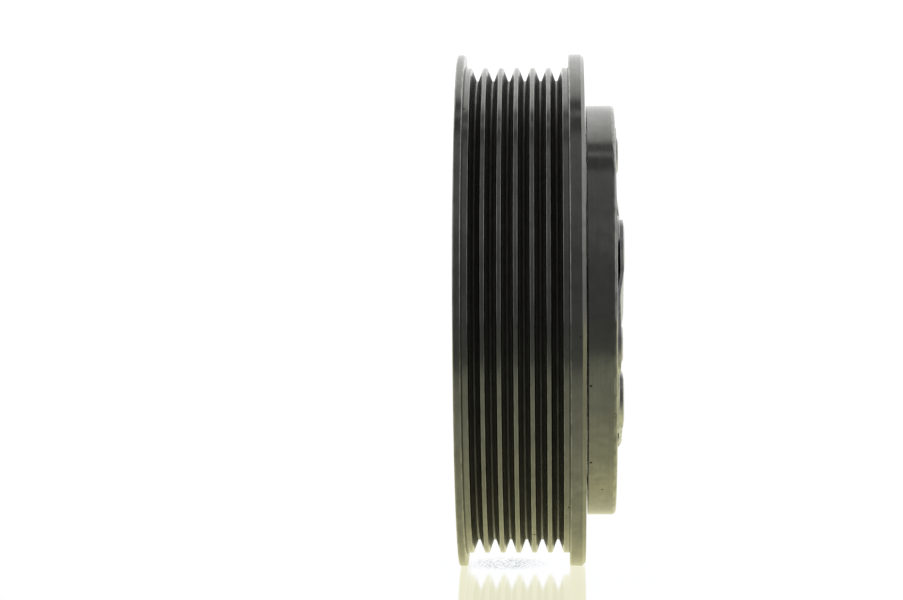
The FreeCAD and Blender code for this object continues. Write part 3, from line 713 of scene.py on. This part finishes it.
def rotor():
    """Rim, web with flux slots, the bearing's sleeve, and the friction ring."""
    shape = Shape()
    shape.turn(rim_corners())
    inner = [shape.wall(sector(*INNER_SLOTS, turn, FLUX_ANGLE, FLUX_CORNER),
                        WEB_REAR, FRONT_FACE, FLUX_BREAK, FLUX_BREAK, hole=True)
             for turn in SIXTHS]
    outer = [shape.wall(sector(*OUTER_SLOTS, turn, FLUX_ANGLE, FLUX_CORNER),
                        WEB_REAR, LINING_FLOOR, FLUX_BREAK, hole=True)
             for turn in SIXTHS]
    low, high = circle(LINING[0]), circle(LINING[1])
    shape.wall(low, LINING_FLOOR, FRONT_FACE)
    shape.wall(high, LINING_FLOOR, FRONT_FACE)
    shape.flat([circle(RIM_INNER), circle(SLEEVE_RADIUS)]
               + [slot[0] for slot in inner + outer], WEB_REAR)
    shape.flat([circle(RIM_INNER), high], FRONT_FACE)
    shape.flat([high, low] + [slot[1] for slot in outer], LINING_FLOOR)
    shape.flat([low, circle(SLEEVE_RADIUS)] + [slot[1] for slot in inner], FRONT_FACE)
    shape.turn([
        (FRONT_FACE, SLEEVE_RADIUS, 0),
        (FRONT_FACE, BEARING_RADIUS, 0.4),
        (BEARING_HALF + CIRCLIP_WIDTH, BEARING_RADIUS, 0),
        (BEARING_HALF + CIRCLIP_WIDTH, CIRCLIP_SEAT, 0),
        (BEARING_HALF, CIRCLIP_SEAT, 0),
        (BEARING_HALF, BEARING_RADIUS, 0),
        (-BEARING_HALF, BEARING_RADIUS, 0),
        (-BEARING_HALF, SHOULDER_RADIUS, 0.2),
        (SLEEVE_REAR, SHOULDER_RADIUS, 0.3),
        (SLEEVE_REAR, SLEEVE_RADIUS, 0.4),
        (WEB_REAR, SLEEVE_RADIUS, OPEN),
    ])
    new_piece("rotor", shape, "pulley", "pulley_rotor", "rotor_steel")

    shape = Shape()
    shape.turn([(LINING_FLOOR, LINING[0], 0), (LINING_FLOOR, LINING[1], 0),
                (FRONT_FACE, LINING[1], LINING_ROUND),
                (FRONT_FACE, LINING[0], LINING_ROUND)])
    new_piece("lining", shape, "pulley", "friction_lining", "friction_lining")


# --- bearing --------------------------------------------------------------------------

def bearing():
    """Both rings with rounded corners, and the two seals with their lips."""
    rings = (("bearing_inner", "stator", "bearing_inner_ring",
              BEARING_BORE, INNER_RING_RADIUS),
             ("bearing_outer", "pulley", "bearing_outer_ring",
              OUTER_RING_BORE, BEARING_RADIUS))
    for name, body, node, inner, outer in rings:
        shape = Shape()
        shape.turn([(x, r, RING_ROUND) for x, r in (
            (-BEARING_HALF, inner), (-BEARING_HALF, outer),
            (BEARING_HALF, outer), (BEARING_HALF, inner))])
        new_piece(name, shape, body, node, "bearing_steel")
    for name, side in (("rear", -1), ("front", 1)):
        outer_face, inner_face = side * SEAL_FRONT, side * (SEAL_FRONT - SEAL_THICKNESS)
        hollow = outer_face - side * SEAL_HOLLOW
        shape = Shape()
        shape.turn([
            (inner_face, SEAL_LIP, SEAL_ROUND),
            (inner_face, OUTER_RING_BORE, SEAL_ROUND),
            (outer_face, OUTER_RING_BORE, SEAL_FACE_ROUND),
            (outer_face, OUTER_RING_BORE - SEAL_RIM_WIDTH[0], SEAL_ROUND),
            (hollow, OUTER_RING_BORE - SEAL_RIM_WIDTH[1], SEAL_ROUND),
            (hollow, SEAL_LIP + SEAL_LIP_WIDTH[1], SEAL_ROUND),
            (outer_face, SEAL_LIP + SEAL_LIP_WIDTH[0], SEAL_FACE_ROUND),
            (outer_face, SEAL_LIP, 0.2),
        ])
        new_piece("seal_" + name, shape, "pulley", "bearing_seal_" + name, "seal_rubber")


# --- field coil -----------------------------------------------------------------------

def coil():
    """Coated housing, the resin in its mouth, and the plate with its pin and gland."""
    shape = Shape()
    shape.turn([
        (COIL_REAR, COIL_INNER, 0.5),
        (COIL_FRONT, COIL_INNER, COIL_MOUTH_ROUND),
        (COIL_FRONT, COIL_INNER + COIL_WALL, COIL_MOUTH_ROUND),
        (COIL_REAR + COIL_FLOOR, COIL_INNER + COIL_WALL, COIL_FLOOR_ROUND),
        (COIL_REAR + COIL_FLOOR, COIL_OUTER - COIL_WALL, COIL_FLOOR_ROUND),
        (COIL_FRONT, COIL_OUTER - COIL_WALL, COIL_MOUTH_ROUND),
        (COIL_FRONT, COIL_OUTER, COIL_MOUTH_ROUND),
        (COIL_REAR, COIL_OUTER, COIL_CORNER),
    ])
    new_piece("housing", shape, "stator", "coil_housing", "coil_steel")

    middle = POTTING_FRONT - POTTING_SINK
    shape = Shape()
    shape.turn([
        (POTTING_REAR, COIL_INNER + COIL_WALL, 0),
        (POTTING_REAR, COIL_OUTER - COIL_WALL, 0),
        (POTTING_FRONT, COIL_OUTER - COIL_WALL, 0.1),
        (middle, COIL_OUTER - COIL_WALL - POTTING_EDGE, POTTING_ROUND),
        (middle, COIL_INNER + COIL_WALL + POTTING_EDGE, POTTING_ROUND),
        (POTTING_FRONT, COIL_INNER + COIL_WALL, 0.1),
    ])
    new_piece("potting", shape, "stator", "coil_potting", "potting_resin")

    pin, gland = place(PIN_CIRCLE, PIN_ANGLE), place(GLAND_CIRCLE, GLAND_ANGLE)
    shape = Shape()
    shape.plate(
        [circle(PLATE_RADIUS), circle(PLATE_BORE)]
        + [sector(*WINDOW, place_angle, WINDOW_ANGLE, WINDOW_CORNER)
           for place_angle in WINDOW_PLACES]
        + [circle(PIN_SHANK, pin, SMALL_STEPS), circle(GLAND_RADIUS, gland, SMALL_STEPS)],
        PLATE_REAR, PLATE_FRONT,
        [PLATE_BREAK] * 2 + [WINDOW_BREAK] * len(WINDOW_PLACES) + [HOLE_BREAK] * 2)
    new_piece("back_plate", shape, "stator", "mounting_plate", "plated_steel")

    pin_rear = span("locating_pin")[0]
    shape = Shape()
    shape.turn([
        (PLATE_FRONT, 0, 0),
        (PLATE_FRONT, PIN_SHANK, 0),
        (PLATE_REAR, PIN_SHANK, 0),
        (PLATE_REAR, PIN_RADIUS, 0),
        (pin_rear, PIN_RADIUS, 0.3),
        (pin_rear, 0, 0),
    ], pin, SMALL_STEPS)
    new_piece("pin", shape, "stator", "locating_pin", "plated_steel")

    gland_rear = span("lead_gland")[0]
    shape = Shape()
    shape.turn([
        (PLATE_FRONT, 0, 0),
        (PLATE_FRONT, GLAND_RADIUS, 0),
        (gland_rear, GLAND_RADIUS, 0.7),
        (gland_rear, GLAND_HOLE, 0.4),
        (gland_rear + GLAND_DEPTH, GLAND_HOLE, 0),
        (gland_rear + GLAND_DEPTH, 0, 0),
    ], gland, SMALL_STEPS)
    new_piece("gland", shape, "stator", "lead_gland", "seal_rubber")


# --- hub ------------------------------------------------------------------------------

def triangle():
    """The hub flange's outline: three round corners joined by straight sides."""
    points = []
    for third in THIRDS:
        corner = place(HUB_CIRCLE, HUB_ANGLE + third)
        points += [corner + place(HUB_CORNER,
                                  HUB_ANGLE + third + 60 * step / HUB_CORNER_STEPS)
                   for step in range(-HUB_CORNER_STEPS, HUB_CORNER_STEPS + 1)]
    return points


def spline_outline():
    """The splined bore's outline."""
    pitch = 360 / SPLINE_COUNT
    half = math.degrees(SPLINE_WIDTH / 2 / SPLINE_MINOR)
    return [place(radius, pitch * number + turned)
            for number in range(SPLINE_COUNT)
            for radius, turned in (
                (SPLINE_MINOR, -half),
                (SPLINE_MAJOR - SPLINE_CORNER, -half * SPLINE_SHOULDER),
                (SPLINE_MAJOR, -half * SPLINE_FLOOR),
                (SPLINE_MAJOR, 0),
                (SPLINE_MAJOR, half * SPLINE_FLOOR),
                (SPLINE_MAJOR - SPLINE_CORNER, half * SPLINE_SHOULDER),
                (SPLINE_MINOR, half),
                (SPLINE_MINOR, pitch / 2))]


def rivets(rear, grip, seat, front, sizes, circle_radius, angle):
    """Three rivets: a foot, a shank from grip to seat, and a domed head with a dimple."""
    shape = Shape()
    wide, narrow = sizes["dimple"]
    for third in THIRDS:
        shape.turn([
            (rear, 0, 0),
            (rear, sizes["foot"], sizes["foot_round"]),
            (grip, sizes["foot"], 0),
            (grip, sizes["shank"], 0),
            (seat, sizes["shank"], 0),
            (seat, sizes["head"], HEAD_FOOT_ROUND),
            (seat + sizes["edge"], sizes["head"], HEAD_EDGE_ROUND),
            (front, sizes["top"], sizes["top_round"]),
            (front, wide, DIMPLE_ROUND),
            (front - DIMPLE_DEPTH, narrow, DIMPLE_ROUND),
            (front - DIMPLE_DEPTH, 0, 0),
        ], place(circle_radius, angle + third), SMALL_STEPS)
    return shape


def hub():
    """Splined boss, three-cornered flange and the rivets that hold the springs to it."""
    shape = Shape()
    edge = shape.wall(circle(BOSS_RADIUS), BOSS_REAR, SEAT_REAR, BOSS_BREAK)
    bore = shape.wall(spline_outline(), BOSS_REAR, SEAT_REAR, SPLINE_BREAK, hole=True)
    shape.flat([edge[0], bore[0]], BOSS_REAR)
    shape.flat([bore[1], circle(BOLT_HOLE)], SEAT_REAR)
    shape.turn([
        (SEAT_REAR, BOLT_HOLE, OPEN),
        (SEAT_REAR, BOSS_RADIUS, 0),
        (FLANGE_REAR, BOSS_RADIUS, 0.2),
        (FLANGE_REAR, BOSS_NECK, 0),
        (BOSS_FRONT, BOSS_NECK, 0.4),
        (BOSS_FRONT, HEAD_RECESS, 0.3),
        (SEAT_FRONT, HEAD_RECESS, 0.3),
        (SEAT_FRONT, BOLT_HOLE, 0.3),
    ])
    new_piece("boss", shape, "hub", "hub_boss", "hub_steel")

    shape = Shape()
    shape.plate([triangle(), circle(BOSS_NECK)], FLANGE_REAR, FLANGE_FRONT,
                [FLANGE_BREAK, NECK_BREAK])
    new_piece("flange", shape, "hub", "hub_flange", "hub_steel")

    rear, front = span("hub_rivets")
    shape = rivets(rear, FLANGE_REAR, FLANGE_FRONT + LEAF_PACK, front, HUB_RIVET,
                   HUB_CIRCLE, HUB_ANGLE)
    new_piece("flange_rivets", shape, "hub", "hub_rivets", "rivet_steel")


def smooth(share):
    """0 to 1 with level ends."""
    share = min(max(share, 0.0), 1.0)
    return share * share * (3 - 2 * share)


def leaf_spring(number, third):
    """Two leaves from a hub rivet to an armature rivet, bent smoothly between them."""
    near, far = place(HUB_CIRCLE, HUB_ANGLE + third), place(FAR_CIRCLE, FAR_ANGLE + third)
    length = (far - near).length
    along = (far - near) / length
    across = Vector((-along.y, along.x))
    half = LEAF_HALF_WIDTH
    ends = [half * math.cos(math.radians(angle)) for angle in LEAF_END_ANGLES]
    tips = [(reach, math.sqrt(half ** 2 - reach ** 2)) for reach in ends]
    stations = [(-reach, wide) for reach, wide in tips]
    stations += [(length * step / LEAF_ROWS, half) for step in range(1, LEAF_ROWS)]
    stations += [(length + reach, wide) for reach, wide in reversed(tips)]
    sides = [2 * column / LEAF_COLUMNS - 1 for column in range(LEAF_COLUMNS + 1)]
    bend = length - LEAF_FAR_FLAT - LEAF_HUB_FLAT
    shape = Shape()
    for lift in (0, LEAF_THICKNESS + LEAF_GAP):
        rows = []
        for reach, wide in stations:
            drop = smooth((reach - LEAF_HUB_FLAT) / bend)
            x = FLANGE_FRONT + (ARMATURE_FRONT - FLANGE_FRONT) * drop + lift
            points = [near + along * reach + across * (wide * side) for side in sides]
            rows.append([(x + LEAF_THICKNESS, *point) for point in points]
                        + [(x, *point) for point in reversed(points)])
        shape.band(rows, lambda row, index:
                   1 if index % len(sides) == LEAF_COLUMNS else 0, closed=False)
        for row in (rows[0], rows[-1]):
            shape.add(row, [tuple(range(len(row)))], [1])
    piece = new_piece(f"spring_{number}", shape, None, f"leaf_spring_{number}",
                      "spring_steel")
    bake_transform(piece)


# --- armature -------------------------------------------------------------------------

def armature():
    """Disc with a turned rim, three slots, a recess for the hub, and its rivets."""
    shape = Shape()
    shape.turn([
        (ARMATURE_REAR, RIM_SEAM, 0),
        (ARMATURE_REAR, ARMATURE_RADIUS, 0.12),
        (ARMATURE_FRONT, ARMATURE_RADIUS, ARMATURE_ROUND),
        (ARMATURE_FRONT, RIM_SEAM, OPEN),
    ])
    slots = [shape.wall(sector(*ARMATURE_SLOTS, FAR_ANGLE + SLOT_TURN + third,
                               SLOT_ANGLE, SLOT_CORNER),
                        ARMATURE_REAR, ARMATURE_FRONT, SLOT_BREAK, SLOT_BREAK, hole=True)
             for third in THIRDS]
    for end, x in enumerate((ARMATURE_REAR, ARMATURE_FRONT)):
        shape.flat([circle(RIM_SEAM), circle(RECESS_SEAM)]
                   + [slot[end] for slot in slots], x)
    shape.turn([
        (ARMATURE_REAR, RECESS_SEAM, 0),
        (ARMATURE_REAR, ARMATURE_BORE, 0.3),
        (ARMATURE_WEB_FRONT, ARMATURE_BORE, 0.3),
        (ARMATURE_WEB_FRONT, RECESS_RADIUS, 0.4),
        (ARMATURE_FRONT, RECESS_RADIUS, 0.3),
        (ARMATURE_FRONT, RECESS_SEAM, OPEN),
    ])
    new_piece("armature_disc", shape, "armature", "armature_plate", "armature_steel")

    rear, front = span("armature_rivets")
    shape = rivets(rear, STUD_SEAT, ARMATURE_FRONT + LEAF_PACK, front, ARMATURE_RIVET,
                   FAR_CIRCLE, FAR_ANGLE)
    new_piece("armature_studs", shape, "armature", "armature_rivets", "rivet_steel")


# --- pieces kept from the frame -------------------------------------------------------

KEPT_NODES = {
    "coil_bobbin": "bobbin_plastic",
    "coil_winding": "copper",
    "bearing_balls_rear": "bearing_steel",
    "bearing_balls_front": "bearing_steel",
    "bearing_cage_rear": "cage_plastic",
    "bearing_cage_front": "cage_plastic",
    "bearing_circlip": "spring_steel",
    "stop_pads": "seal_rubber",
    "gap_shim": "spring_steel",
}


def dress_kept_nodes():
    """Give each node that stays its finish."""
    for name, finish in KEPT_NODES.items():
        materials = frame["nodes"][name].data.materials
        materials.clear()
        materials.append(FINISHES[finish])


# --- stage ----------------------------------------------------------------------------

FLOOR = cad_low.z - 0.02 * MM
FLOOR_HALF = 3.0                # metres
# Khaki painted into the floor's glow under the object, standing in for its reflection.
PAINTED_REFLECTION_COLOR = (0.78, 0.77, 0.57, 1.0)
FLOOR_GLOSS = (0.20, 0.21, 0.40, 1.0)
FLOOR_ROUGHNESS = 0.08
# Where the floor is polished, and where its glow is painted a darker khaki as the object's
# reflection: axis, middle and reach along it, in millimetres.
POLISH_AND_PAINTED_REFLECTION = ((0, 4.0, 24.0), (1, -29.0, 32.0))
POLISH_AND_REFLECTION_FADE = 10.0
# Specks of painted contact shadow on the floor under the pulley.
SPECK_PATTERN = (2.0, 0.8, 0.8)
SHADOW_SPECK_COLOR = (0.24, 0.31, 0.12, 1.0)
# Where the specks of painted contact shadow lie, under the pulley: the middle, after a
# scale for each axis, and where they fade.
SPECK_SCALE, SPECK_MIDDLE = (0.11, 0.09, 0.0), (-0.45, 0.0, 0.0)
SPECK_FADE = (0.5, 1.1)

SHELL_STEPS = 72
SHELL_RADIUS = 1.2              # metres
SHELL_HALF_LENGTH = 1.1
# Light of the studio shell by angle, from the horizon in front (0) over the top (90) to
# the horizon behind (180).
SHELL_LIGHT = (
    (0, 0.13), (26, 0.13), (45, 0.19), (80, 0.22), (84, 0.25), (88, 0.12), (96, 0.12),
    (98, 0.42), (99.5, 0.42), (101, 0.14), (107, 0.14), (110, 0.5), (116, 0.75),
    (130, 1.0), (180, 1.1),
)
# Light of the shell's two end walls by height, in millimetres.
END_LIGHT = ((-60, 0.42), (150, 0.45), (600, 0.8), (1200, 0.9))
# Light from the floor by distance behind the axis, in millimetres; in front is negative.
FLOOR_LIGHT = (
    (-400, (0.13, 0.13, 0.12)), (-186, (0.14, 0.14, 0.13)), (-164, (0.24, 0.245, 0.20)),
    (-124, (0.36, 0.37, 0.28)), (-69, (0.45, 0.455, 0.33)), (-41, (0.60, 0.59, 0.38)),
    (-30, (0.70, 0.69, 0.43)), (-20, (0.90, 0.87, 0.50)), (40, (0.95, 0.93, 0.65)),
    (400, (1.0, 0.99, 0.85)),
)
FLOOR_LIGHT_HALF = 1.2          # metres
WHITE, BLACK = (1.0, 1.0, 1.0, 1.0), (0.0, 0.0, 0.0, 1.0)
WORLD_STRENGTH = 1.1


def stage_mesh(name, vertices, faces, material):
    """A piece of the set, in metres."""
    mesh = bpy.data.meshes.new(name)
    mesh.from_pydata(vertices, [], faces)
    piece = bpy.data.objects.new(name, mesh)
    bpy.context.scene.collection.objects.link(piece)
    mesh.materials.append(material)
    return piece


def ramp_light(name, stops, axis=None):
    """Glowing material with light by angle about X, or by place on an axis."""
    finish = Finish(name)
    finish.nodes.remove(finish.shader)
    axes = finish.node("SeparateXYZ", {0: finish.position}).outputs
    if axis is None:
        value = finish.math("ARCTAN2", finish.math("MAXIMUM", axes[2], 0.0),
                            finish.math("MULTIPLY", axes[1], -1.0))
        value = finish.math("MULTIPLY", value, 180 / math.pi)
    else:
        value = axes[axis]
    low, high = stops[0][0], stops[-1][0]
    ramp = finish.node("ValToRGB", {0: finish.between(value, low, high)})
    elements = ramp.color_ramp.elements
    while len(elements) < len(stops):
        elements.new(1.0)
    for element, (stop, light) in zip(elements, stops):
        element.position = (stop - low) / (high - low)
        element.color = (*(light if isinstance(light, tuple) else (light,) * 3), 1.0)
    glow = finish.node("Emission", {0: ramp.outputs[0], 1: 1.0})
    finish.set(finish.nodes["Material Output"].inputs["Surface"], glow.outputs[0])
    return finish.material


def shell():
    """Half-round studio shell over the object: dark in front and above, bright behind."""
    dip = math.asin(-FLOOR / SHELL_RADIUS)
    vertices = []
    for step in range(SHELL_STEPS + 1):
        angle = -dip + (math.pi + 2 * dip) * step / SHELL_STEPS
        y, z = -math.cos(angle) * SHELL_RADIUS, math.sin(angle) * SHELL_RADIUS
        vertices += [(-SHELL_HALF_LENGTH, y, z), (SHELL_HALF_LENGTH, y, z)]
    faces = [(first, first + 1, first + 3, first + 2)
             for first in range(0, 2 * SHELL_STEPS, 2)]
    stage_mesh("shell", vertices, faces,
               ramp_light("shell", SHELL_LIGHT)).visible_camera = False
    ends = [tuple(range(side, len(vertices), 2)) for side in (0, 1)]
    stage_mesh("shell_ends", vertices, ends,
               ramp_light("shell_ends", END_LIGHT, axis=2)).visible_camera = False


def square(half, height):
    """Corners of a level square."""
    return [(-half, -half, height), (half, -half, height), (half, half, height),
            (-half, half, height)]


def floors():
    """The pale glossy floor, with a painted reflection and contact shadow, and the light
    it throws at the object.
    """
    finish = Finish("floor")
    finish.nodes.remove(finish.shader)
    polish_and_painted_reflection = 1.0
    for axis, middle, reach in POLISH_AND_PAINTED_REFLECTION:
        here = finish.node("SeparateXYZ", {0: finish.position}).outputs[axis]
        away = finish.math("ABSOLUTE", finish.math("SUBTRACT", here, middle))
        polish_and_painted_reflection = finish.math(
            "MULTIPLY", polish_and_painted_reflection,
            finish.between(away, reach, reach + POLISH_AND_REFLECTION_FADE, 1.0, 0.0))
    # Painted reflection: the glow turns a darker khaki in the polished part under the
    # object.
    color = finish.mix(polish_and_painted_reflection, WHITE, PAINTED_REFLECTION_COLOR)
    under = finish.scaled(finish.position, SPECK_SCALE)
    far = finish.node("VectorMath", {0: under, 1: SPECK_MIDDLE}, operation="DISTANCE")
    # Painted contact shadow: specks darken the floor's glow under the pulley.
    shadow_specks = finish.between(finish.noise(SPECK_PATTERN, detail=5.0),
                            0.44, 0.68, 0.0, 0.9)
    shadow_specks = finish.math("MULTIPLY", shadow_specks,
                         finish.between(far.outputs["Value"], *SPECK_FADE, 1.0, 0.0))
    glow = finish.node("Emission", {0: finish.mix(shadow_specks, color, SHADOW_SPECK_COLOR), 1: 1.0})
    gloss = finish.node("BsdfAnisotropic", {0: finish.mix(polish_and_painted_reflection, BLACK, FLOOR_GLOSS),
                                            "Roughness": FLOOR_ROUGHNESS})
    mixed = finish.node("AddShader", {0: glow.outputs[0], 1: gloss.outputs[0]})
    below = finish.node("NewGeometry").outputs["Backfacing"]
    clear = finish.node("BsdfTransparent")
    one_sided = finish.node("MixShader", {0: below, 1: mixed.outputs[0],
                                          2: clear.outputs[0]})
    finish.set(finish.nodes["Material Output"].inputs["Surface"], one_sided.outputs[0])
    seen = stage_mesh("floor", square(FLOOR_HALF, FLOOR), [(0, 1, 2, 3)],
                      finish.material)
    seen.visible_glossy = False
    seen.visible_diffuse = False
    seen.visible_shadow = False

    bounce = stage_mesh("floor_light", square(FLOOR_LIGHT_HALF, FLOOR - 0.01 * MM),
                        [(0, 1, 2, 3)], ramp_light("floor_light", FLOOR_LIGHT, axis=1))
    bounce.visible_camera = False
    bounce.visible_shadow = False


def world():
    """White all round."""
    studio = bpy.data.worlds.new("Studio")
    bpy.context.scene.world = studio
    studio.use_nodes = True
    background = studio.node_tree.nodes["Background"]
    background.inputs["Color"].default_value = WHITE
    background.inputs["Strength"].default_value = WORLD_STRENGTH


CAMERA_PLACE = (7.3, -787.6, 46.4)
CAMERA_AIM = (-16.4, 0, 2.4)
CAMERA_ROLL = -0.336            # degrees
CAMERA_SENSOR = 36
CAMERA_LENS = 138.2


def camera():
    """Camera in front of the rim, slightly above the axis."""
    data = bpy.data.cameras.new("Camera")
    data.sensor_width = CAMERA_SENSOR
    data.lens = CAMERA_LENS
    made = bpy.data.objects.new("Camera", data)
    bpy.context.scene.collection.objects.link(made)
    made.location = Vector(CAMERA_PLACE) * MM
    look = Vector(CAMERA_AIM) - Vector(CAMERA_PLACE)
    look = look.to_track_quat("-Z", "Y").to_matrix()
    roll = Matrix.Rotation(math.radians(CAMERA_ROLL), 3, "Z")
    made.rotation_euler = (look @ roll).to_euler()
    bpy.context.scene.camera = made
    bpy.context.scene.view_settings.view_transform = "Standard"


rotor()
bearing()
coil()
hub()
for spring, turned in enumerate(THIRDS, 1):
    leaf_spring(spring, turned)
armature()
dress_kept_nodes()
shell()
floors()
world()
camera()
